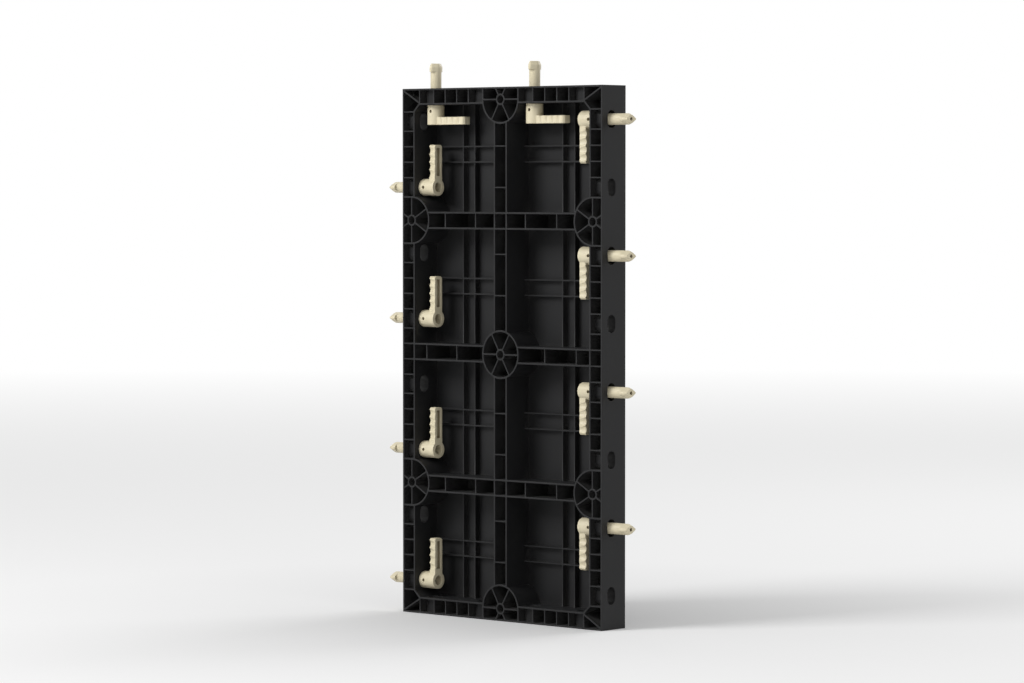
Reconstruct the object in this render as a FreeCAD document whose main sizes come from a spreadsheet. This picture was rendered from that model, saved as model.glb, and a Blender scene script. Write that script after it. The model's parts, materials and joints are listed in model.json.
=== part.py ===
"""Plastic wall formwork panel with ten quarter-turn lock handles.

Millimetres, +Z up, origin at the middle of the bottom edge. The concrete face looks along +Y and the
ribbed rear looks along -Y.
"""
import FreeCAD, Part
import math
import os
import Sketcher

# Driving dimensions of the panel and its handles
SIZES = {
    "panel_width": 600,
    "panel_height": 1200,
    "panel_depth": 80,
    "skin": 5,
    "rim_width": 37.5,
    "outer_wall": 4,
    "inner_wall": 4,
    "web": 3,
    "gusset": 4.5,
    "locks_across": 4,
    "locks_up": 8,
    "lock_cell": 44,
    "lock_depth": 32,
    "sleeve_wall": 3,
    "rib": 4,
    "low_rib": 3.5,
    "low_rib_height": 14,
    "tie_inset": 28,
    "tie_hole": 18,
    "tie_tube_wall": 4,
    "boss_wall": 4,
    "spoke": 3.5,
    "hub_diameter": 39,
    "hub_length": 44.5,
    "hub_room": 0.5,
    "hub_bore": 22,
    "hub_bore_depth": 37,
    "dot_hole": 7,
    "dot_depth": 6,
    "dot_inset": 14,
    "seat_gap": 0.3,
    "pin_diameter": 25,
    "slot_room": 0.75,
    "catch_gap": 0.5,
    "tongue_length": 38,
    "tongue_thickness": 11,
    "tip_round": 5.5,
    "nose_length": 8,
    "nose_taper": 22,
    "core_hole": 8,
    "core_depth": 14,
    "lever_length": 97,
    "lever_thickness": 17.5,
    "lever_depth": 25,
    "lever_round": 4,
    "groove_width": 11,
    "groove_depth": 9,
    "groove_margin": 7,
    "finger_radius": 11,
    "finger_depth": 4,
    "finger_taper": 10,
    "finger_pitch": 17.5,
    "fingers": 4,
}

PITCH_X = "(sizes.panel_width / sizes.locks_across)"
PITCH_Z = "(sizes.panel_height / sizes.locks_up)"
# Three plain cells lie between two lock cells
PLAIN_X = f"(({PITCH_X} - sizes.lock_cell) / 3)"
PLAIN_Z = f"(({PITCH_Z} - sizes.lock_cell) / 3)"
HALF_WIDTH = "(sizes.panel_width / 2)"
HALF_HEIGHT = "(sizes.panel_height / 2)"
LEFT = f"-{HALF_WIDTH}"
BOTTOM = f"-{HALF_HEIGHT}"
SIDE_TIE = f"-{HALF_HEIGHT} / 2"
FACE_PLANE = "-sizes.panel_depth / 2"
REAR_PLANE = "sizes.panel_depth / 2"
LOCK_LEVEL = "(sizes.lock_depth - sizes.panel_depth / 2)"
WALL_MIDDLE = "(sizes.rim_width - sizes.inner_wall / 2)"
BOSS_X = f"({PITCH_X} / 2 - sizes.hub_diameter / 2 - sizes.hub_room)"
BOSS_Z = f"({PITCH_Z} / 2 - sizes.hub_diameter / 2 - sizes.hub_room)"
# Middle of the bosses' round walls
RING_X = f"({BOSS_X} - sizes.boss_wall / 2)"
RING_Z = f"({BOSS_Z} - sizes.boss_wall / 2)"
# From the panel's corner to the first lock cell
CORNER_X = f"({PITCH_X} / 2 - sizes.lock_cell / 2)"
CORNER_Z = f"({PITCH_Z} / 2 - sizes.lock_cell / 2)"
TUBE_RADIUS = "(sizes.tie_hole / 2 + sizes.tie_tube_wall)"
SLOT_LENGTH = "(sizes.tongue_length + 2 * sizes.slot_room)"
SLOT_WIDTH = "(sizes.pin_diameter + 2 * sizes.slot_room)"
# Shift of a 45 degree corner cut's ends when its outline is offset by one unit
CUT_SHIFT = math.sqrt(2) - 1
# Height of a spoke of unit length that leans towards the edge
SLANT = math.sin(math.radians(60))

document = FreeCAD.newDocument("formwork_panel")


def make_sheet():
    """Writes the driving dimensions into the sheet, one named cell each."""
    sheet = document.addObject("Spreadsheet::Sheet", "sizes")
    for row, (name, size) in enumerate(SIZES.items(), start=1):
        sheet.set(f"A{row}", name)
        sheet.set(f"B{row}", str(size))
        sheet.setAlias(f"B{row}", name)
    document.recompute()
    return sheet


sizes = make_sheet()


def number(owner, expression):
    """The present value of an expression on the sheet."""
    result = owner.evalExpression(expression)
    return float(getattr(result, "Value", result))


def new_body(label):
    body = document.addObject("PartDesign::Body", label)
    body.Label = label
    return body


def origin_feature(body, role):
    """A plane or axis of the body's own origin."""
    return next(item for item in body.Origin.OriginFeatures if item.Role == role)


def new_sketch(body, name, role, offset):
    """A sketch on an origin plane of the body, moved along its normal by an offset."""
    sketch = body.newObject("Sketcher::SketchObject", name)
    sketch.AttachmentSupport = [(origin_feature(body, role), "")]
    sketch.MapMode = "FlatFace"
    sketch.setExpression("AttachmentOffset.Base.z", offset)
    return sketch


def rule(kind, *places):
    """A geometric rule of a sketch, with no size."""
    return Sketcher.Constraint(kind, *places), None


def dimension(sketch, kind, places, expression):
    """One dimension of a sketch and the expression that it follows."""
    return Sketcher.Constraint(kind, *places, number(sketch, expression)), expression


def place_point(sketch, geometry, end, x, y):
    """The two dimensions that hold a point of a sketch."""
    return [dimension(sketch, "DistanceX", (-1, 1, geometry, end), x),
            dimension(sketch, "DistanceY", (-1, 1, geometry, end), y)]


def constrain(sketch, rules):
    """Adds rules and dimensions to a sketch and ties each dimension to the sheet."""
    indices = sketch.addConstraint([constraint for constraint, expression in rules])
    for index, (constraint, expression) in zip(indices, rules):
        if expression:
            sketch.setExpression(f"Constraints[{index}]", expression)


def chain(first, count):
    """Rules that join consecutive lines of a closed outline end to start."""
    return [rule("Coincident", first + k, 2, first + (k + 1) % count, 1) for k in range(count)]


def polygon(sketch, corners):
    """A closed outline of straight lines through corners given as pairs of expressions."""
    points = [FreeCAD.Vector(number(sketch, x), number(sketch, y), 0) for x, y in corners]
    count = len(points)
    first = sketch.GeometryCount
    lines = [Part.LineSegment(points[k], points[(k + 1) % count]) for k in range(count)]
    sketch.addGeometry(lines, False)
    rules = chain(first, count)
    for k, (x, y) in enumerate(corners):
        rules += place_point(sketch, first + k, 1, x, y)
    constrain(sketch, rules)


def rectangle(sketch, left, bottom, width, height):
    """An upright rectangle from its lower left corner and its size."""
    x = number(sketch, left)
    y = number(sketch, bottom)
    right = x + number(sketch, width)
    top = y + number(sketch, height)
    points = [FreeCAD.Vector(*point, 0) for point in ((x, y), (right, y), (right, top), (x, top))]
    first = sketch.GeometryCount
    lines = [Part.LineSegment(points[k], points[(k + 1) % 4]) for k in range(4)]
    sketch.addGeometry(lines, False)
    rules = chain(first, 4)
    for k, kind in enumerate(("Horizontal", "Vertical", "Horizontal", "Vertical")):
        rules.append(rule(kind, first + k))
    rules += place_point(sketch, first, 1, left, bottom)
    rules.append(dimension(sketch, "DistanceX", (first, 1, first, 2), width))
    rules.append(dimension(sketch, "DistanceY", (first + 1, 1, first + 1, 2), height))
    constrain(sketch, rules)


def circle(sketch, x, y, diameter):
    """A circle from its centre and diameter."""
    centre = FreeCAD.Vector(number(sketch, x), number(sketch, y), 0)
    radius = number(sketch, diameter) / 2
    index = sketch.addGeometry(Part.Circle(centre, FreeCAD.Vector(0, 0, 1), radius), False)
    rules = place_point(sketch, index, 3, x, y)
    rules.append(dimension(sketch, "Diameter", (index,), diameter))
    constrain(sketch, rules)


def nearer_end(sketch, geometry, point):
    """Which end of a line or arc, 1 or 2, lies at a point."""
    return min((1, 2), key=lambda end: sketch.getPoint(geometry, end).distanceToPoint(point))


def meet(sketch, first, second, point, kind):
    """The rule that joins two pieces of an outline at a point."""
    return rule(kind, first, nearer_end(sketch, first, point),
                second, nearer_end(sketch, second, point))


def obround(sketch, x, y, length, width, along_x):
    """A slot outline with round ends, long along the sketch's x or y."""
    radius = number(sketch, width) / 2
    reach = f"(({length} - {width}) / 2)"
    half = number(sketch, reach)
    middle = FreeCAD.Vector(number(sketch, x), number(sketch, y), 0)
    axis = FreeCAD.Vector(1, 0, 0) if along_x else FreeCAD.Vector(0, 1, 0)
    across = FreeCAD.Vector(-axis.y, axis.x, 0)
    low = middle - axis * half
    high = middle + axis * half
    corners = (high - across * radius, high + across * radius,
               low + across * radius, low - across * radius)
    first = sketch.GeometryCount
    sketch.addGeometry([Part.Arc(corners[0], high + axis * radius, corners[1]),
                        Part.LineSegment(corners[1], corners[2]),
                        Part.Arc(corners[2], low - axis * radius, corners[3]),
                        Part.LineSegment(corners[3], corners[0])], False)
    rules = [meet(sketch, first + k, first + (k + 1) % 4, corners[(k + 1) % 4], "Tangent")
             for k in range(4)]
    rules.append(rule("Equal", first, first + 2))
    offsets = ((f"{x} + {reach}", y), (f"{x} - {reach}", y))
    if not along_x:
        offsets = ((x, f"{y} + {reach}"), (x, f"{y} - {reach}"))
    rules += place_point(sketch, first, 3, *offsets[0])
    rules += place_point(sketch, first + 2, 3, *offsets[1])
    rules.append(dimension(sketch, "Radius", (first,), f"{width} / 2"))
    constrain(sketch, rules)


def lozenge(sketch, length, width, tip):
    """An outline about the sketch's origin, round in the middle, that narrows to a round tip at each end."""
    wide = number(sketch, width) / 2
    narrow = number(sketch, tip)
    reach = f"({length} / 2 - {tip})"
    apart = number(sketch, reach)
    lean = math.acos((wide - narrow) / apart)
    corners = []
    middles = []
    for radius, centre, turn in ((narrow, apart, 0), (wide, 0, math.pi / 2), (narrow, -apart, math.pi),
                                 (wide, 0, math.pi * 3 / 2)):
        half = lean if centre else math.pi / 2 - lean
        points = [FreeCAD.Vector(centre + radius * math.cos(angle), radius * math.sin(angle), 0)
                  for angle in (turn - half, turn, turn + half)]
        corners += [points[0], points[2]]
        middles.append(points[1])
    first = sketch.GeometryCount
    outline = []
    for k in range(0, 8, 2):
        outline.append(Part.Arc(corners[k], middles[k // 2], corners[k + 1]))
        outline.append(Part.LineSegment(corners[k + 1], corners[(k + 2) % 8]))
    sketch.addGeometry(outline, False)
    rules = [meet(sketch, first + k, first + (k + 1) % 8, corners[(k + 1) % 8], "Tangent") for k in range(8)]
    rules += [rule("Equal", first, first + 4), rule("Equal", first + 2, first + 6)]
    rules.append(dimension(sketch, "Radius", (first,), tip))
    rules.append(dimension(sketch, "Radius", (first + 2,), f"{width} / 2"))
    for k, x in enumerate((reach, "0", f"-{reach}", "0")):
        rules += place_point(sketch, first + 2 * k, 3, x, "0")
    constrain(sketch, rules)


def edge_bay(sketch, along_x, edge, along, inset, radius):
    """A U outline: two straight sides that leave an edge, closed by a half round."""
    edge_at = number(sketch, edge)
    along_at = number(sketch, along)
    inset_at = number(sketch, inset)
    round_by = number(sketch, radius)
    inward = 1 if inset_at > edge_at else -1

    def point(sideways, outward):
        pair = (sideways, outward) if along_x else (outward, sideways)
        return FreeCAD.Vector(*pair, 0)

    corners = (point(along_at - round_by, edge_at), point(along_at - round_by, inset_at),
               point(along_at + round_by, inset_at), point(along_at + round_by, edge_at))
    bottom = point(along_at, inset_at + inward * round_by)
    first = sketch.GeometryCount
    sketch.addGeometry([Part.LineSegment(corners[0], corners[1]),
                        Part.Arc(corners[1], bottom, corners[2]),
                        Part.LineSegment(corners[2], corners[3]),
                        Part.LineSegment(corners[3], corners[0])], False)
    rules = []
    for k, kind in enumerate(("Tangent", "Tangent", "Coincident", "Coincident")):
        rules.append(meet(sketch, first + k, first + (k + 1) % 4, corners[(k + 1) % 4], kind))
    side, close = ("Vertical", "Horizontal") if along_x else ("Horizontal", "Vertical")
    rules += [rule(side, first), rule(side, first + 2), rule(close, first + 3)]
    centre = (along, inset) if along_x else (inset, along)
    rules += place_point(sketch, first + 1, 3, *centre)
    rules.append(dimension(sketch, "Radius", (first + 1,), radius))
    across = "DistanceY" if along_x else "DistanceX"
    rules.append(dimension(sketch, across, (-1, 1, first + 3, 1), edge))
    constrain(sketch, rules)


def pad(body, name, sketch, length, reverse=False, taper=None):
    """Adds material from a sketch."""
    feature = body.newObject("PartDesign::Pad", name)
    feature.Profile = sketch
    feature.setExpression("Length", length)
    feature.Reversed = reverse
    if taper:
        feature.setExpression("TaperAngle", taper)
    return feature


def pocket(body, name, sketch, length, reverse=False, taper=None):
    """Takes material away from a sketch."""
    feature = body.newObject("PartDesign::Pocket", name)
    feature.Profile = sketch
    feature.setExpression("Length", length)
    feature.Reversed = reverse
    if taper:
        feature.setExpression("TaperAngle", taper)
    return feature


def repeat(body, name, feature, axis, length, count):
    """Repeats a feature evenly along an origin axis."""
    pattern = body.newObject("PartDesign::LinearPattern", name)
    pattern.Originals = [feature]
    pattern.Direction = (origin_feature(body, axis), [""])
    pattern.setExpression("Length", length)
    pattern.setExpression("Occurrences", count)
    body.Tip = pattern
    return pattern


def bar(sketch, middle_x, bottom, thickness, height):
    """An upright wall seen end on, centred on a line."""
    rectangle(sketch, f"{middle_x} - {thickness} / 2", bottom, thickness, height)


def beam(sketch, left, middle_y, length, thickness):
    """A level wall seen end on, centred on a line."""
    rectangle(sketch, left, f"{middle_y} - {thickness} / 2", length, thickness)


def make_face_and_rim(panel):
    """The concrete face and the two walls of the rim, with the inner wall cut across the corner."""
    outline = new_sketch(panel, "face_outline", "XZ_Plane", FACE_PLANE)
    rectangle(outline, LEFT, BOTTOM, HALF_WIDTH, HALF_HEIGHT)
    pad(panel, "concrete_face", outline, "sizes.skin")
    walls = new_sketch(panel, "rim_outline", "XZ_Plane", FACE_PLANE)
    wall_x = f"{LEFT} + sizes.outer_wall"
    wall_z = f"{BOTTOM} + sizes.outer_wall"
    polygon(walls, ((LEFT, BOTTOM), ("0", BOTTOM), ("0", wall_z), (wall_x, wall_z), (wall_x, "0"),
                    (LEFT, "0")))
    rear_x = f"{LEFT} + sizes.rim_width"
    rear_z = f"{BOTTOM} + sizes.rim_width"
    front_x = f"{rear_x} - sizes.inner_wall"
    front_z = f"{rear_z} - sizes.inner_wall"
    cut_x = f"{LEFT} + {CORNER_X}"
    cut_z = f"{BOTTOM} + {CORNER_Z}"
    back = f"{CUT_SHIFT:.6f} * sizes.inner_wall"
    polygon(walls, (("0", rear_z), (cut_x, rear_z), (rear_x, cut_z), (rear_x, "0"), (front_x, "0"),
                    (front_x, f"{cut_z} - {back}"), (f"{cut_x} - {back}", front_z), ("0", front_z)))
    pad(panel, "rim_walls", walls, "sizes.panel_depth")


def make_lock_slots(panel):
    """Sleeved key slots through the rim, one in the middle of each lock cell."""
    edges = (("bottom", "XY_Plane", BOTTOM, (f"{LEFT} + {PITCH_X} / 2", LOCK_LEVEL),
              ("X_Axis", f"{PITCH_X} * (sizes.locks_across / 2 - 1)", "sizes.locks_across / 2")),
             ("left", "YZ_Plane", LEFT, (LOCK_LEVEL, f"{BOTTOM} + {PITCH_Z} / 2"),
              ("Z_Axis", f"{PITCH_Z} * (sizes.locks_up / 2 - 1)", "sizes.locks_up / 2")))
    for name, plane, edge, centre, run in edges:
        along_x = plane == "XY_Plane"
        sleeve = new_sketch(panel, f"{name}_sleeve_outline", plane, edge)
        obround(sleeve, *centre, f"({SLOT_LENGTH} + 2 * sizes.sleeve_wall)",
                f"({SLOT_WIDTH} + 2 * sizes.sleeve_wall)", along_x)
        first_sleeve = pad(panel, f"{name}_first_sleeve", sleeve, WALL_MIDDLE)
        repeat(panel, f"{name}_sleeves", first_sleeve, *run)
        slot = new_sketch(panel, f"{name}_slot_outline", plane, edge)
        obround(slot, *centre, SLOT_LENGTH, SLOT_WIDTH, along_x)
        first_slot = pocket(panel, f"{name}_first_slot", slot, "sizes.rim_width + sizes.inner_wall",
                            reverse=True)
        repeat(panel, f"{name}_slots", first_slot, *run)


def spokes(sketch, x, y, radii):
    """Spokes round a centre, from inside the tie tube to a reach of their own."""
    start = f"({TUBE_RADIUS} - sizes.tie_tube_wall / 2)"
    for angle, reach in radii:
        cosine = math.cos(math.radians(angle))
        sine = math.sin(math.radians(angle))
        corners = []
        for radius, side in ((start, -1), (reach, -1), (reach, 1), (start, 1)):
            corners.append((f"{x} + {cosine:.6f} * {radius} - {side * sine / 2:.6f} * sizes.spoke",
                            f"{y} + {sine:.6f} * {radius} + {side * cosine / 2:.6f} * sizes.spoke"))
        polygon(sketch, corners)


def make_tie_bosses(panel):
    """Spoked round bosses for the tie rods: in the middle, at the end and at the side."""
    low = f"({BOTTOM} + sizes.tie_inset)"
    aside = f"({LEFT} + sizes.tie_inset)"
    blanks = new_sketch(panel, "boss_outline", "XZ_Plane", FACE_PLANE)
    circle(blanks, "0", "0", f"2 * {BOSS_X}")
    edge_bay(blanks, True, f"{BOTTOM} + sizes.outer_wall / 2", "0", low, BOSS_X)
    edge_bay(blanks, False, f"{LEFT} + sizes.outer_wall / 2", SIDE_TIE, aside, BOSS_Z)
    pad(panel, "boss_blanks", blanks, "sizes.panel_depth")
    hollows = new_sketch(panel, "boss_hollow_outline", "XZ_Plane", REAR_PLANE)
    circle(hollows, "0", "0", f"2 * ({BOSS_X} - sizes.boss_wall)")
    edge_bay(hollows, True, f"{BOTTOM} + sizes.outer_wall", "0", low, f"({BOSS_X} - sizes.boss_wall)")
    edge_bay(hollows, False, f"{LEFT} + sizes.outer_wall", SIDE_TIE, aside,
             f"({BOSS_Z} - sizes.boss_wall)")
    pocket(panel, "boss_hollows", hollows, "sizes.panel_depth - sizes.skin")
    to_edge = f"((sizes.tie_inset - sizes.outer_wall / 2) / {SLANT:.6f})"
    wheel = new_sketch(panel, "spoke_outline", "XZ_Plane", FACE_PLANE)
    spokes(wheel, "0", "0", [(angle, RING_X) for angle in (180, 240)])
    spokes(wheel, "0", low, ((120, RING_X), (180, RING_X), (240, to_edge)))
    spokes(wheel, aside, SIDE_TIE, ((270, RING_Z), (330, RING_Z), (30, RING_Z), (90, RING_Z),
                                    (150, to_edge), (210, to_edge)))
    pad(panel, "boss_spokes", wheel, "sizes.panel_depth")
    tubes = new_sketch(panel, "tie_tube_outline", "XZ_Plane", FACE_PLANE)
    holes = new_sketch(panel, "tie_hole_outline", "XZ_Plane", REAR_PLANE)
    for x, z in (("0", "0"), ("0", low), (aside, SIDE_TIE)):
        circle(tubes, x, z, f"2 * {TUBE_RADIUS}")
        circle(holes, x, z, "sizes.tie_hole")
    pad(panel, "tie_tubes", tubes, "sizes.panel_depth")
    pocket(panel, "tie_holes", holes, "sizes.panel_depth")


def make_low_ribs(panel):
    """Pairs of low ribs that stiffen the face between the ladders."""
    height = "sizes.skin + sizes.low_rib_height"
    upright = new_sketch(panel, "low_upright_outline", "XZ_Plane", FACE_PLANE)
    for sign in ("-", "+"):
        bar(upright, f"{LEFT} + {PITCH_X} {sign} {PLAIN_X} / 2", f"{BOTTOM} + {WALL_MIDDLE}",
            "sizes.low_rib", f"{HALF_HEIGHT} - {WALL_MIDDLE}")
    pad(panel, "low_upright_ribs", upright, height)
    level = new_sketch(panel, "low_level_outline", "XZ_Plane", FACE_PLANE)
    for pitches in (1, 3):
        for sign in ("-", "+"):
            beam(level, f"{LEFT} + {WALL_MIDDLE}", f"{BOTTOM} + {PITCH_Z} * {pitches} {sign} {PLAIN_Z} / 2",
                 f"{HALF_WIDTH} - {WALL_MIDDLE}", "sizes.low_rib")
    pad(panel, "low_level_ribs", level, height)


def make_upright_walls(panel):
    """The ladder rib, ladder webs and end rim webs that stand upright, as deep as the rim."""
    walls = new_sketch(panel, "upright_outline", "XZ_Plane", FACE_PLANE)
    rise = f"sqrt({RING_X}^2 - ({PLAIN_X} / 2)^2)"
    bar(walls, f"-{PLAIN_X} / 2", f"{BOTTOM} + sizes.tie_inset + {rise}", "sizes.rib",
        f"{HALF_HEIGHT} - sizes.tie_inset - 2 * {rise}")
    for middle in (f"-{PITCH_X} / 2", f"-{PITCH_X} - {PLAIN_X} / 2"):
        bar(walls, middle, f"{SIDE_TIE} - {PLAIN_Z} / 2", "sizes.web", PLAIN_Z)
    for middle in (f"-{PITCH_X} * 3 / 2", f"-{PITCH_X} + {PLAIN_X} / 2"):
        bar(walls, middle, f"-{PLAIN_Z} / 2", "sizes.web", f"{PLAIN_Z} / 2")
    middles = [f"{LEFT} + {PITCH_X} {sign} {PLAIN_X} / 2" for sign in ("-", "+")]
    for place in range(SIZES["locks_across"] // 2):
        middles += [f"{LEFT} + {PITCH_X} * {place + 0.5} {sign} sizes.lock_cell / 2"
                    for sign in ("-", "+")]
    for middle in middles:
        bar(walls, middle, f"{BOTTOM} + sizes.outer_wall / 2", "sizes.web",
            f"{WALL_MIDDLE} - sizes.outer_wall / 2")
    pad(panel, "upright_walls", walls, "sizes.panel_depth")


def make_level_walls(panel):
    """The cross ribs, rungs and side rim webs that lie level, and the slanting corner gusset."""
    walls = new_sketch(panel, "level_outline", "XZ_Plane", FACE_PLANE)
    side_reach = f"sqrt({RING_Z}^2 - ({PLAIN_Z} / 2)^2)"
    cross_length = f"({HALF_WIDTH} - sizes.tie_inset - {side_reach})"
    for sign in ("-", "+"):
        beam(walls, f"-{cross_length}", f"{SIDE_TIE} {sign} {PLAIN_Z} / 2", cross_length, "sizes.rib")
        for step in (f"{PITCH_Z} / 2", f"({PITCH_Z} + {PLAIN_Z} / 2)"):
            beam(walls, f"-{PLAIN_X} / 2", f"{SIDE_TIE} {sign} {step}", f"{PLAIN_X} / 2", "sizes.web")
    middle_reach = f"sqrt({RING_X}^2 - ({PLAIN_Z} / 2)^2)"
    beam(walls, f"{LEFT} + sizes.rim_width", f"-{PLAIN_Z} / 2",
         f"{HALF_WIDTH} - sizes.rim_width - {middle_reach}", "sizes.rib")
    middles = [f"-{PLAIN_Z} / 2"]
    for pitches in (1, 3):
        middles += [f"{BOTTOM} + {PITCH_Z} * {pitches} {sign} {PLAIN_Z} / 2" for sign in ("-", "+")]
    for place in range(SIZES["locks_up"] // 2):
        middles += [f"{BOTTOM} + {PITCH_Z} * {place + 0.5} {sign} sizes.lock_cell / 2"
                    for sign in ("-", "+")]
    for middle in middles:
        beam(walls, f"{LEFT} + sizes.outer_wall / 2", middle, f"{WALL_MIDDLE} - sizes.outer_wall / 2",
             "sizes.web")
    near_x = f"{LEFT} + sizes.outer_wall / 2"
    near_z = f"{BOTTOM} + sizes.outer_wall / 2"
    far_x = f"{LEFT} + {CORNER_X}"
    far_z = f"{BOTTOM} + {WALL_MIDDLE}"
    polygon(walls, ((near_x, near_z), (far_x, f"{far_z} - sizes.gusset"), (far_x, far_z),
                    (near_x, f"{near_z} + sizes.gusset")))
    pad(panel, "level_walls", walls, "sizes.panel_depth")


def mirror(body, name, plane):
    """Adds the mirror image of the whole body, once that has a shape."""
    document.recompute()
    image = body.newObject("PartDesign::Mirrored", name)
    image.TransformMode = "Whole shape"
    image.MirrorPlane = (origin_feature(body, plane), [""])
    body.Tip = image
    return image


def make_panel():
    """The whole panel moulding: one quarter is drawn about the panel's middle and mirrored twice."""
    panel = new_body("moulded_panel")
    panel.setExpression("Placement.Base.z", HALF_HEIGHT)
    make_face_and_rim(panel)
    make_lock_slots(panel)
    make_tie_bosses(panel)
    make_low_ribs(panel)
    make_upright_walls(panel)
    make_level_walls(panel)
    trim = new_sketch(panel, "trim_outline", "XZ_Plane", REAR_PLANE)
    beyond_x = f"{LEFT} - {PITCH_X}"
    beyond_z = f"{BOTTOM} - {PITCH_Z}"
    polygon(trim, (("0", beyond_z), (PITCH_X, beyond_z), (PITCH_X, PITCH_Z), (beyond_x, PITCH_Z),
                   (beyond_x, "0"), ("0", "0")))
    pocket(panel, "quarter_trim", trim, "sizes.panel_depth")
    mirror(panel, "both_sides", "YZ_Plane")
    mirror(panel, "both_ends", "XY_Plane")
    return panel


def make_handle(label, turn, x, z):
    """One lock handle: hub, finger lever, pin and cross tongue.

    It is drawn with its pin along x, going into the panel, and its lever upwards, then turned about
    the panel's normal to suit its edge.
    """
    handle = new_body(label)
    handle.Placement = FreeCAD.Placement(FreeCAD.Vector(),
                                         FreeCAD.Rotation(FreeCAD.Vector(0, 1, 0), turn))
    for axis, place in (("x", x), ("y", LOCK_LEVEL), ("z", z)):
        handle.setExpression(f"Placement.Base.{axis}", place)
    seat = "(sizes.rim_width + sizes.seat_gap)"
    hub_end = f"({seat} + sizes.hub_length)"
    catch = "(sizes.rim_width + sizes.catch_gap)"

    hub = new_sketch(handle, "hub_outline", "YZ_Plane", seat)
    circle(hub, "0", "0", "sizes.hub_diameter")
    pad(handle, "hub", hub, "sizes.hub_length")
    pin = new_sketch(handle, "pin_outline", "YZ_Plane", seat)
    circle(pin, "0", "0", "sizes.pin_diameter")
    pad(handle, "pin", pin, f"{seat} + {catch}", reverse=True)
    make_tongue(handle, catch)
    make_lever(handle, hub_end)

    bore = new_sketch(handle, "bore_outline", "YZ_Plane", hub_end)
    circle(bore, "0", "0", "sizes.hub_bore")
    pocket(handle, "hub_bore", bore, "sizes.hub_bore_depth")
    dot = new_sketch(handle, "dot_outline", "XZ_Plane", "sizes.hub_diameter / 2")
    circle(dot, f"{seat} + sizes.dot_inset", "0", "sizes.dot_hole")
    pocket(handle, "dot_hole", dot, "sizes.dot_depth")
    return handle


def make_tongue(handle, catch):
    """The cross tongue that catches behind the next panel's rim, with a tapered nose and a cored end."""
    tongue = new_sketch(handle, "tongue_outline", "YZ_Plane", f"-{catch}")
    lozenge(tongue, "sizes.tongue_length", "sizes.pin_diameter", "sizes.tip_round")
    pad(handle, "tongue", tongue, "sizes.tongue_thickness", reverse=True)
    nose_start = f"-{catch} - sizes.tongue_thickness"
    nose = new_sketch(handle, "nose_outline", "YZ_Plane", nose_start)
    lozenge(nose, "sizes.tongue_length", "sizes.pin_diameter", "sizes.tip_round")
    pad(handle, "nose", nose, "sizes.nose_length", reverse=True, taper="-sizes.nose_taper")
    core = new_sketch(handle, "core_outline", "YZ_Plane", f"{nose_start} - sizes.nose_length")
    circle(core, "0", "0", "sizes.core_hole")
    pocket(handle, "core_hole", core, "sizes.core_depth", reverse=True)


def make_lever(handle, hub_end):
    """The finger lever: a channel with finger hollows, flush with the inner end of the hub."""
    half = "sizes.lever_depth / 2"
    lever = new_sketch(handle, "lever_outline", "YZ_Plane", f"{hub_end} - sizes.lever_thickness")
    bevel = "sizes.lever_round"
    polygon(lever, ((f"-{half}", "0"), (half, "0"), (half, f"sizes.lever_length - {bevel}"),
                    (f"{half} - {bevel}", "sizes.lever_length"),
                    (f"-{half} + {bevel}", "sizes.lever_length"),
                    (f"-{half}", f"sizes.lever_length - {bevel}")))
    pad(handle, "lever", lever, "sizes.lever_thickness")
    groove = new_sketch(handle, "groove_outline", "YZ_Plane", hub_end)
    low = "(sizes.hub_diameter / 2 + sizes.groove_margin)"
    rectangle(groove, "-sizes.groove_width / 2", low, "sizes.groove_width",
              f"sizes.lever_length - sizes.groove_margin - {low}")
    pocket(handle, "groove", groove, "sizes.groove_depth")
    finger = new_sketch(handle, "finger_outline", "YZ_Plane", f"{hub_end} - sizes.lever_thickness")
    last = "sizes.lever_length - sizes.lever_round - sizes.finger_pitch / 2"
    circle(finger, f"-{half} - sizes.finger_radius + sizes.finger_depth",
           f"{last} - (sizes.fingers - 1) * sizes.finger_pitch", "2 * sizes.finger_radius")
    first_finger = pocket(handle, "first_finger", finger, "sizes.lever_thickness", reverse=True,
                          taper="-sizes.finger_taper")
    repeat(handle, "fingers", first_finger, "Z_Axis", "sizes.finger_pitch * (sizes.fingers - 1)",
           "sizes.fingers")


def make_handles():
    """Handles in every second lock cell, going round the panel: left, top, then right."""
    handles = []
    locks_up = SIZES["locks_up"]
    locks_across = SIZES["locks_across"]
    for place in range(0, locks_up, 2):
        handles.append(make_handle(f"lock_handle_left_{place // 2 + 1}", 0, f"-{HALF_WIDTH}",
                                   f"{PITCH_Z} * {place + 0.5}"))
    for place in range(0, locks_across, 2):
        handles.append(make_handle(f"lock_handle_top_{place // 2 + 1}", 90,
                                   f"-{HALF_WIDTH} + {PITCH_X} * {place + 0.5}", "sizes.panel_height"))
    for place in range(1, locks_up, 2):
        handles.append(make_handle(f"lock_handle_right_{place // 2 + 1}", 180, HALF_WIDTH,
                                   f"{PITCH_Z} * {place + 0.5}"))
    return handles


def check_document():
    """Stops if any object failed to build."""
    for item in document.Objects:
        if "Invalid" in item.State or "Error" in item.State:
            raise RuntimeError(f"{item.Name} failed: {item.State}")


def free_slots_first(panel, handles):
    """The panel's solid with the faces beside a handle listed last.

    Slots in opposite edges share one axis, and a search along it then meets the slot that is free to
    take a pin before the one that holds a pin.
    """
    rooms = [handle.Shape.BoundBox for handle in handles]

    def beside_handle(face):
        return any(room.isInside(face.CenterOfMass) for room in rooms)

    return Part.Solid(Part.Shell(sorted(panel.Shape.Faces, key=beside_handle)))


def write_parts(shapes):
    """Writes each finished piece to its own file."""
    for label, shape in shapes.items():
        if shape.isNull() or not shape.isValid():
            raise RuntimeError(f"{label} has no valid shape")
    os.makedirs("parts", exist_ok=True)
    for label, shape in shapes.items():
        shape.exportStep(f"parts/{label}.step")
        print(label, len(shape.Solids), round(shape.Volume / 1000, 1), "cm3")


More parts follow.
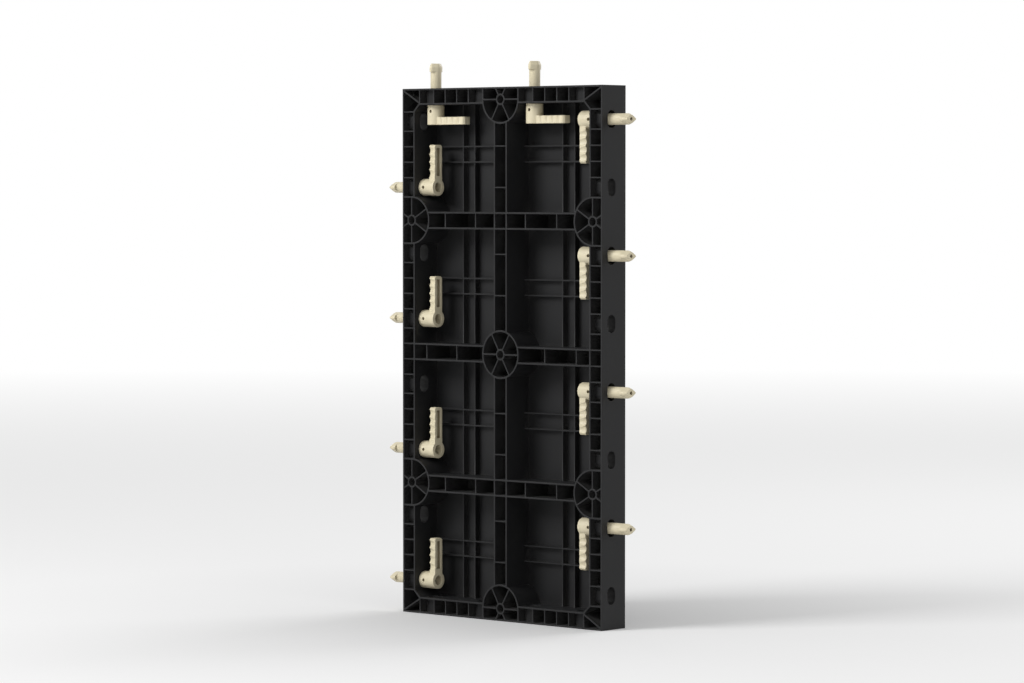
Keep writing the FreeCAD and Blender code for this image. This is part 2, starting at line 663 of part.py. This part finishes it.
panel = make_panel()
handles = make_handles()
document.recompute()
check_document()
shapes = {handle.Label: handle.Shape for handle in handles}
shapes[panel.Label] = free_slots_first(panel, handles)
write_parts(shapes)
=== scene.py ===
"""Plastic wall formwork panel with quarter-turn lock handles: moulded edges, finishes and studio."""
import bmesh
import bpy
import json
import math
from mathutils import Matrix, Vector


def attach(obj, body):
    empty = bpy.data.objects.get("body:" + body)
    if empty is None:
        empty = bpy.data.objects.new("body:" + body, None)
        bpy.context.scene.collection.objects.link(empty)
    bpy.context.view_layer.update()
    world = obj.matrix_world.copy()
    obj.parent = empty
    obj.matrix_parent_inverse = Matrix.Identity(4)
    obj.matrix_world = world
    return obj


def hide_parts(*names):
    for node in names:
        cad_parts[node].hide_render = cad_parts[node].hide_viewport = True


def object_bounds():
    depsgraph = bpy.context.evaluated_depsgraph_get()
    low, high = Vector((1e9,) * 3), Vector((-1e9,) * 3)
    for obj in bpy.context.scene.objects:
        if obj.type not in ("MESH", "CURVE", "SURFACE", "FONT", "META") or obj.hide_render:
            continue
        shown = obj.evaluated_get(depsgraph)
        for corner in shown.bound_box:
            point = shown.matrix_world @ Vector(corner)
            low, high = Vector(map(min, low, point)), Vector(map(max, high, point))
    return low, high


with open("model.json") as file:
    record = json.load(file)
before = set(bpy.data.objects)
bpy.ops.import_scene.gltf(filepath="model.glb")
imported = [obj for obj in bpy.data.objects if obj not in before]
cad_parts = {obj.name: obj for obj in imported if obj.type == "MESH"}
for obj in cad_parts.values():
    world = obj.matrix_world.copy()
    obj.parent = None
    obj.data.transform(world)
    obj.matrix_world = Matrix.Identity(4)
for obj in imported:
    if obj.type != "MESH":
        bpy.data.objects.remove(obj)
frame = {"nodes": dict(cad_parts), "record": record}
cad_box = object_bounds()

# Vertices of a solid's mesh that are nearer than this are one, metres
WELD = 1e-5
# Rounded rib edges of the panel, metres: width, and the shortest edge beside one that leaves it room
PANEL_EDGE = 0.0006
EDGE_ROOM = 0.0013
EDGE_STEPS = 2
# Turn between faces past which a moulded edge is rounded, and below which it is shaded smooth
EDGE_TURN = math.radians(32)
# How much the larger of two faces sways the shading between them
FLAT_SWAY = 100
# Rounded edges are marked first by a second material slot and then by a face attribute
EDGE_SLOT = 1
ROUNDED = "rounded_edge"
# Soft handles: grain of the new surface in metres, passes that round it, share of its faces kept
SOFT_GRAIN = 0.0007
SOFT_PASSES = 6
SOFT_SHARE = 0.16

# Both plastics: refractive index, and rays that look for hollows
PLASTIC_IOR = 1.52
HOLLOW_RAYS = 12

# Black ABS: repeats of each pattern in a metre along X, Y and Z
ABS_GRAIN = (1300, 1300, 1300)
ABS_FIBRES = (220, 220, 900)
ABS_FLOW = (7, 7, 11)
ABS_RUBS = (60, 60, 24)
ABS_SCUFFS = (30, 30, 150)
ABS_CEMENT = (6, 6, 2.5)
ABS_SCRAPES = (420, 420, 7)
# Black ABS: darkest and palest colour as moulded, and colours where rubbed, dusty and hazed
ABS_DARK = (0.0095, 0.0096, 0.0102, 1)
ABS_PALE = (0.0165, 0.0165, 0.0172, 1)
ABS_RUBBED = (0.05, 0.05, 0.052, 1)
ABS_DUSTY = (0.062, 0.061, 0.059, 1)
ABS_HAZED = (0.07, 0.07, 0.068, 1)
# Black ABS: most that rubbing, cement and scraping show, and how near walls hold dust, metres
RUB_SHARE = 0.16
CEMENT_SHARE = 0.3
SCRAPE_SHARE = 0.22
DUST_REACH = 0.06
# Black ABS: gloss, roughness before the patterns change it, and depth of the grain in metres
ABS_GLOSS = 0.22
ABS_ROUGHNESS = 0.42
ABS_RELIEF = 0.00006
# Depth either side of the middle, just short of the rib edges and of the concrete face, metres,
# and how steeply the masks of those faces rise past it
FACE_DEPTH = 0.0388
FACE_SLOPE = 800

# Cream nylon: repeats of each pattern in a metre along X, Y and Z
NYLON_GRAIN = (900, 900, 900)
NYLON_CLOUDS = (24, 24, 24)
NYLON_STREAKS = (60, 60, 60)
# Cream nylon: darkest and palest colour as moulded, and dark brown for painted shade in hollows and
# for grime
NYLON_DARK = (0.66, 0.585, 0.405, 1)
NYLON_PALE = (0.76, 0.69, 0.5, 1)
NYLON_GRIME_AND_SHADE = (0.16, 0.125, 0.07, 1)
# Cream nylon: most that painted shade shows in hollows and grime in streaks, and how near walls
# darken, metres
HOLLOW_SHADE_SHARE = 0.8
STREAK_SHARE = 0.16
SHADE_REACH = 0.02
# Cream nylon: gloss, roughness before the patterns change it, and depth of the grain in metres
NYLON_GLOSS = 0.4
NYLON_ROUGHNESS = 0.38
NYLON_RELIEF = 0.00005

# Viewpoint of the photograph: angles, distance in metres, lens and sensor in millimetres
CAMERA_AZIMUTH = math.radians(41.7)
CAMERA_ELEVATION = math.radians(2.3)
CAMERA_DISTANCE = 8.9
CAMERA_LENS = 139
CAMERA_SENSOR = 36

# Studio: its white, strength of the surroundings as a light, and the point that softboxes face
WHITE = (1, 1, 1, 1)
AMBIENT = 0.36
LIT_POINT = (0, 0, 0.6)
# Softboxes: place and width in metres, watts
SOFTBOXES = {
    "key": ((-2.0, -4.6, 4.0), 2.4, 240),
    "fill": ((4.6, -1.6, 2.6), 3.0, 38),
    "back": ((0.6, 4.4, 3.6), 2.8, 90),
}
# Floor: half its width in metres, its colour, and how white it glows at shares of a distance in metres
FLOOR_HALF = 60
FLOOR_COLOUR = (0.86, 0.86, 0.86, 1)
GLOW_DISTANCE = 20
FLOOR_GLOW = ((0.01, 0), (0.07, 0.45), (0.6, 1))

# Sockets of a Mix node that mixes colours: share, base, other and result
MIX_SHARE = 0
MIX_BASE = 6
MIX_OTHER = 7
MIX_RESULT = 2


class Value:
    """A number that varies over a surface; arithmetic on it adds Math nodes."""

    def __init__(self, finish, socket):
        self.finish = finish
        self.socket = socket

    def math(self, operation, first, second):
        settings = {"operation": operation}
        return self.finish.add("ShaderNodeMath", settings, {0: first, 1: second}, "Value")

    def __add__(self, other):
        return self.math("ADD", self, other)

    __radd__ = __add__

    def __sub__(self, other):
        return self.math("SUBTRACT", self, other)

    def __rsub__(self, other):
        return self.math("SUBTRACT", other, self)

    def __mul__(self, other):
        return self.math("MULTIPLY", self, other)

    __rmul__ = __mul__

    def highest(self, other):
        return self.math("MAXIMUM", self, other)


class Finish:
    """A material or world whose nodes are added one by one."""

    def __init__(self, owner):
        self.owner = owner
        owner.use_nodes = True
        self.tree = owner.node_tree
        self.tree.nodes.clear()

    def add(self, kind, settings, inputs, output):
        """Adds a node, sets it, fills or links its sockets, and gives the named output or the node."""
        node = self.tree.nodes.new(kind)
        for name, setting in settings.items():
            if name == "stops":
                self.set_stops(node.color_ramp, setting)
            else:
                setattr(node, name, setting)
        for name, value in inputs.items():
            if isinstance(value, Value):
                self.tree.links.new(value.socket, node.inputs[name])
            else:
                node.inputs[name].default_value = value
        return node if output is None else Value(self, node.outputs[output])

    @staticmethod
    def set_stops(ramp, stops):
        """Gives a colour ramp its stops, each a place along it and a level of grey."""
        while len(ramp.elements) < len(stops):
            ramp.elements.new(1)
        for element, (place, level) in zip(ramp.elements, stops):
            element.position = place
            element.color = (level, level, level, 1)

    def noise(self, place, repeats, detail, roughness=0.5):
        """A cloudy pattern with so many repeats in a metre along X, Y and Z."""
        stretched = self.add("ShaderNodeMapping", {}, {"Vector": place, "Scale": repeats}, "Vector")
        inputs = {"Vector": stretched, "Scale": 1, "Detail": detail, "Roughness": roughness}
        return self.add("ShaderNodeTexNoise", {}, inputs, "Fac")

    def ramp(self, value, *stops):
        """A value led through stops, each a value and the level that takes its place."""
        return self.add("ShaderNodeValToRGB", {"stops": stops}, {"Fac": value}, "Color")

    def tint(self, share, base, other):
        """A base colour with a share of another."""
        inputs = {MIX_SHARE: share, MIX_BASE: base, MIX_OTHER: other}
        return self.add("ShaderNodeMix", {"data_type": "RGBA"}, inputs, MIX_RESULT)

    def open_air(self, reach):
        """One where nothing of the piece itself is within reach, less in its hollows."""
        settings = {"samples": HOLLOW_RAYS, "only_local": True}
        return self.add("ShaderNodeAmbientOcclusion", settings, {"Distance": reach}, "AO")

    def seen_by(self, first, *others):
        """One for the kinds of ray that are named and nought for the rest."""
        path = self.add("ShaderNodeLightPath", {}, {}, None)
        seen = Value(self, path.outputs[f"Is {first} Ray"])
        for kind in others:
            seen = seen.highest(Value(self, path.outputs[f"Is {kind} Ray"]))
        return seen


def plastic(name, gloss, build):
    """A moulded plastic: the build function gives its colour, roughness, relief and relief's depth."""
    finish = Finish(bpy.data.materials.new(name))
    place = finish.add("ShaderNodeTexCoord", {}, {}, "Object")
    colour, roughness, height, depth = build(finish, place)
    bump = {"Strength": 1.0, "Distance": depth, "Height": height}
    relief = finish.add("ShaderNodeBump", {}, bump, "Normal")
    inputs = {"Base Color": colour, "Roughness": roughness, "Normal": relief, "IOR": PLASTIC_IOR,
              "Specular IOR Level": gloss}
    shader = finish.add("ShaderNodeBsdfPrincipled", {}, inputs, "BSDF")
    finish.add("ShaderNodeOutputMaterial", {}, {"Surface": shader}, None)
    return finish.owner


def black_abs(finish, place):
    """Glass-filled black ABS: sparked grain, faint flow marks, edges rubbed paler, dust in the cells.

    The rib edges that the panel is stacked on are rubbed most. The concrete face is the smoothest,
    with a thin haze of cement and scratches from scraping.
    """
    depth = finish.add("ShaderNodeSeparateXYZ", {}, {"Vector": place}, "Y")
    rear = finish.ramp((depth + FACE_DEPTH) * -FACE_SLOPE, (0, 0), (1, 1))
    front = finish.ramp((depth - FACE_DEPTH) * FACE_SLOPE, (0, 0), (1, 1))
    edge = finish.add("ShaderNodeAttribute", {"attribute_name": ROUNDED}, {}, "Fac")
    grain = finish.noise(place, ABS_GRAIN, detail=2)
    fibres = finish.noise(place, ABS_FIBRES, detail=3)
    flow = finish.noise(place, ABS_FLOW, detail=4, roughness=0.6)
    rubs = finish.noise(place, ABS_RUBS, detail=5, roughness=0.7)
    scuffs = finish.noise(place, ABS_SCUFFS, detail=4, roughness=0.65)
    cement = finish.noise(place, ABS_CEMENT, detail=6, roughness=0.68)
    scrapes = finish.noise(place, ABS_SCRAPES, detail=3, roughness=0.6)

    worn = rear.highest(edge) * finish.ramp(rubs, (0.36, 0.2), (0.66, 1))
    settled = finish.ramp(finish.open_air(DUST_REACH), (0.06, 1), (0.44, 0))
    hazed = finish.ramp(cement, (0.42, 0), (0.72, 1)) * CEMENT_SHARE
    scraped = finish.ramp(scrapes, (0.64, 0), (0.74, 1)) * SCRAPE_SHARE
    scuffed = front * finish.ramp(scuffs, (0.5, 0), (0.75, 1))

    moulded = finish.tint(flow, ABS_DARK, ABS_PALE)
    rubbed = finish.tint(worn * RUB_SHARE, moulded, ABS_RUBBED)
    dusty = finish.tint(settled, rubbed, ABS_DUSTY)
    colour = finish.tint(front * (hazed + scraped), dusty, ABS_HAZED)
    patterned = ABS_ROUGHNESS + flow * 0.1 + grain * 0.05
    roughness = patterned - worn * 0.06 - front * 0.1 + scuffed * 0.14
    height = (grain * 0.65 + fibres * 0.35) * (1 - front * 0.7)
    return colour, roughness, height, ABS_RELIEF


def cream_nylon(finish, place):
    """Cream nylon: soft sheen, cloudy colour, painted shade in the hollows and streaks of handling
    grime.
    """
    grain = finish.noise(place, NYLON_GRAIN, detail=2)
    clouds = finish.noise(place, NYLON_CLOUDS, detail=4, roughness=0.6)
    streaks = finish.noise(place, NYLON_STREAKS, detail=5, roughness=0.65)
    # Painted shade: hollows are darkened towards brown by how closed in they are, then streaks of real
    # grime are added
    painted_hollow_shade = finish.ramp(finish.open_air(SHADE_REACH), (0.3, 1), (0.75, 0))
    streaked = finish.ramp(streaks, (0.58, 0), (0.78, 1))
    grime_and_shade = painted_hollow_shade * HOLLOW_SHADE_SHARE + streaked * STREAK_SHARE
    moulded = finish.tint(clouds, NYLON_DARK, NYLON_PALE)
    colour = finish.tint(grime_and_shade, moulded, NYLON_GRIME_AND_SHADE)
    roughness = NYLON_ROUGHNESS + clouds * 0.1 + grime_and_shade * 0.15
    return colour, roughness, grain, NYLON_RELIEF


def add_object(name, data):
    """A new object in the scene."""
    thing = bpy.data.objects.new(name, data)
    bpy.context.scene.collection.objects.link(thing)
    return thing


def bare_copy(node, name, material):
    """A piece with the bare outer shape of a solid."""
    solid = frame["nodes"][node].data
    corners = [vert.co for vert in solid.vertices]
    faces = [face.vertices for face in solid.polygons]
    mesh = bpy.data.meshes.new(name)
    mesh.from_pydata(corners, [], faces)
    mesh.shade_smooth()
    reshape(mesh, join_corners, keep_outer_skin)
    mesh.materials.append(material)
    return add_object(name, mesh)


def reshape(mesh, *steps):
    """Takes a mesh through steps that change its shape."""
    shape = bmesh.new()
    shape.from_mesh(mesh)
    for step in steps:
        step(shape)
    shape.to_mesh(mesh)
    shape.free()


def join_corners(shape):
    """Joins the vertices that a solid's mesh splits along its sharp edges."""
    bmesh.ops.remove_doubles(shape, verts=shape.verts, dist=WELD)


def keep_outer_skin(shape):
    """Deletes pockets closed inside a solid, which nothing opens or shows."""
    reached = {min(shape.verts, key=lambda vert: vert.co.z)}
    fresh = reached
    while fresh:
        fresh = {edge.other_vert(vert) for vert in fresh for edge in vert.link_edges} - reached
        reached |= fresh
    pockets = [vert for vert in shape.verts if vert not in reached]
    bmesh.ops.delete(shape, geom=pockets, context="VERTS")


def sort_edges(shape):
    """Gives weight to the outward edges with room to be rounded, and keeps the other corners sharp."""
    shape.normal_update()
    weight = shape.edges.layers.float.new("bevel_weight_edge")
    for edge in shape.edges:
        turn = edge.calc_face_angle_signed(0)
        shortest = min(near.calc_length() for vert in edge.verts for near in vert.link_edges)
        rounded = turn > EDGE_TURN and shortest > EDGE_ROOM
        edge[weight] = float(rounded)
        edge.smooth = rounded or abs(turn) < EDGE_TURN


def work_in_modifiers(moulding):
    """Puts the shape that the modifiers give in place of the mesh below them."""
    raw = moulding.data
    name = raw.name
    moulding.data = bpy.data.meshes.new_from_object(
        moulding.evaluated_get(bpy.context.evaluated_depsgraph_get()))
    moulding.modifiers.clear()
    bpy.data.meshes.remove(raw)
    moulding.data.name = name


def ribbed_moulding(node, name, material):
    """The panel with its rib edges rounded and marked, so that the finish can wear them."""
    moulding = bare_copy(node, name, material)
    reshape(moulding.data, sort_edges)
    moulding.data.materials.append(material)
    bevel = moulding.modifiers.new("rounded_edges", "BEVEL")
    bevel.width = PANEL_EDGE
    bevel.segments = EDGE_STEPS
    bevel.limit_method = "WEIGHT"
    bevel.use_clamp_overlap = False
    bevel.loop_slide = False
    bevel.material = EDGE_SLOT
    flats = moulding.modifiers.new("flat_faces", "WEIGHTED_NORMAL")
    flats.keep_sharp = True
    flats.weight = FLAT_SWAY
    work_in_modifiers(moulding)
    mark_rounded_edges(moulding.data)
    return moulding


def mark_rounded_edges(mesh):
    """Turns the second material's faces, which round the edges, into an attribute for the finish."""
    on_edge = [0] * len(mesh.polygons)
    mesh.polygons.foreach_get("material_index", on_edge)
    mesh.attributes.new(ROUNDED, "FLOAT", "FACE").data.foreach_set("value", on_edge)
    mesh.polygons.foreach_set("material_index", [0] * len(on_edge))
    mesh.materials.pop(index=EDGE_SLOT)


def soft_moulding(node, name, material):
    """A handle with all its edges and hollows softly rounded."""
    moulding = bare_copy(node, name, material)
    grain = moulding.modifiers.new("even_surface", "REMESH")
    grain.mode = "VOXEL"
    grain.voxel_size = SOFT_GRAIN
    soft = moulding.modifiers.new("soft_edges", "SMOOTH")
    soft.iterations = SOFT_PASSES
    fewer = moulding.modifiers.new("fewer_faces", "DECIMATE")
    fewer.ratio = SOFT_SHARE
    work_in_modifiers(moulding)
    moulding.data.shade_smooth()
    return moulding


def dress(moulding, node, body):
    """Puts a moulding on its node's body in place of the node."""
    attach(moulding, body)
    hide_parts(node)


def make_floor():
    """A pale floor, in plain shade near the part and fading to white in the distance."""
    low, high = -FLOOR_HALF, FLOOR_HALF
    corners = [(low, low, 0), (high, low, 0), (high, high, 0), (low, high, 0)]
    mesh = bpy.data.meshes.new("floor")
    mesh.from_pydata(corners, [], [(0, 1, 2, 3)])
    finish = Finish(bpy.data.materials.new("pale_floor"))
    place = finish.add("ShaderNodeTexCoord", {}, {}, "Object")
    reach = finish.add("ShaderNodeVectorMath", {"operation": "LENGTH"}, {0: place}, "Value")
    glow = finish.ramp(reach * (1 / GLOW_DISTANCE), *FLOOR_GLOW) * finish.seen_by("Camera")
    pale = finish.add("ShaderNodeBsdfDiffuse", {}, {"Color": FLOOR_COLOUR}, "BSDF")
    white = finish.add("ShaderNodeEmission", {}, {"Color": WHITE, "Strength": 1.0}, "Emission")
    mixed = finish.add("ShaderNodeMixShader", {}, {0: glow, 1: pale, 2: white}, 0)
    finish.add("ShaderNodeOutputMaterial", {}, {"Surface": mixed}, None)
    mesh.materials.append(finish.owner)
    floor = add_object("floor", mesh)


def make_world():
    """Even surroundings, white to the eye and in reflections and weaker as a light."""
    world = bpy.data.worlds.new("studio")
    bpy.context.scene.world = world
    finish = Finish(world)
    shown = finish.seen_by("Camera", "Glossy", "Transmission")
    inputs = {"Color": WHITE, "Strength": shown * (1 - AMBIENT) + AMBIENT}
    light = finish.add("ShaderNodeBackground", {}, inputs, "Background")
    finish.add("ShaderNodeOutputWorld", {}, {"Surface": light}, None)


def aim(thing, place, target):
    """Puts a lamp or camera in its place and turns it to a target."""
    thing.location = place
    thing.rotation_euler = (Vector(target) - Vector(place)).to_track_quat("-Z", "Y").to_euler()


def softbox(name, place, size, power):
    """A square area lamp that faces the part."""
    data = bpy.data.lights.new(name, "AREA")
    data.size = size
    data.energy = power
    aim(add_object(name, data), place, LIT_POINT)


def make_camera(centre):
    """A camera that sees the part as the photograph does."""
    data = bpy.data.cameras.new("camera")
    data.lens = CAMERA_LENS
    data.sensor_width = CAMERA_SENSOR
    camera = add_object("camera", data)
    level = math.cos(CAMERA_ELEVATION)
    back = Vector((math.sin(CAMERA_AZIMUTH) * level, -math.cos(CAMERA_AZIMUTH) * level,
                   math.sin(CAMERA_ELEVATION)))
    aim(camera, centre + back * CAMERA_DISTANCE, centre)
    bpy.context.scene.camera = camera


bpy.context.scene.view_settings.view_transform = "Standard"
panel_finish = plastic("black_abs", ABS_GLOSS, black_abs)
handle_finish = plastic("cream_nylon", NYLON_GLOSS, cream_nylon)
for body, nodes in frame["record"]["behaviour"]["bodies"].items():
    for node in nodes:
        if node == "moulded_panel":
            panel = ribbed_moulding(node, "ribbed_panel", panel_finish)
            dress(panel, node, body)
        else:
            handle = soft_moulding(node, f"{body}_moulding", handle_finish)
            dress(handle, node, body)

make_floor()
make_world()
make_camera((cad_box[0] + cad_box[1]) / 2)
for name, (place, size, power) in SOFTBOXES.items():
    softbox(name, place, size, power)
